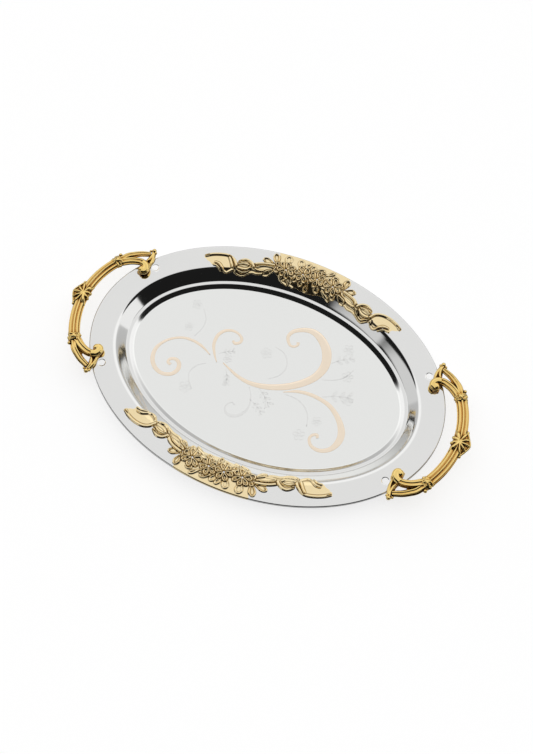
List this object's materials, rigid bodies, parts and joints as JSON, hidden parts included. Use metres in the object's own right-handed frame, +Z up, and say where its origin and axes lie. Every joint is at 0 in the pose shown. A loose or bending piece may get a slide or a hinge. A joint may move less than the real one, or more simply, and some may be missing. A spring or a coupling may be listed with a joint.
{
  "type": "oval serving tray",
  "caption": "Oval mirror-polished metal serving tray with a sunk well, an embossed floral rim and a pair of fixed cast handles.",
  "frame": {"origin": "centre of the flat underside of the floor, which the tray rests on", "axes": "+Z up; +X along the tray's length towards the right-hand handle; -Y towards the front long side"},
  "size_m": [0.4852, 0.3024, 0.0324],
  "materials": {
    "polished_sheet": "mirror-polished sheet metal, embossed ornament part plated in pale gold",
    "gold_casting": "bright gold-coloured plating on a casting, darker in the recesses",
    "zinc_steel": "zinc-plated fasteners, satin"
  },
  "bodies": {
    "root": {"tray_body": "polished_sheet", "handle_left": "gold_casting", "handle_right": "gold_casting", "handle_screw_left_front": "zinc_steel", "handle_screw_left_rear": "zinc_steel", "handle_screw_right_front": "zinc_steel", "handle_screw_right_rear": "zinc_steel", "handle_washer_left_front": "zinc_steel", "handle_washer_left_rear": "zinc_steel", "handle_washer_right_front": "zinc_steel", "handle_washer_right_rear": "zinc_steel"}
  },
  "joints": []
}
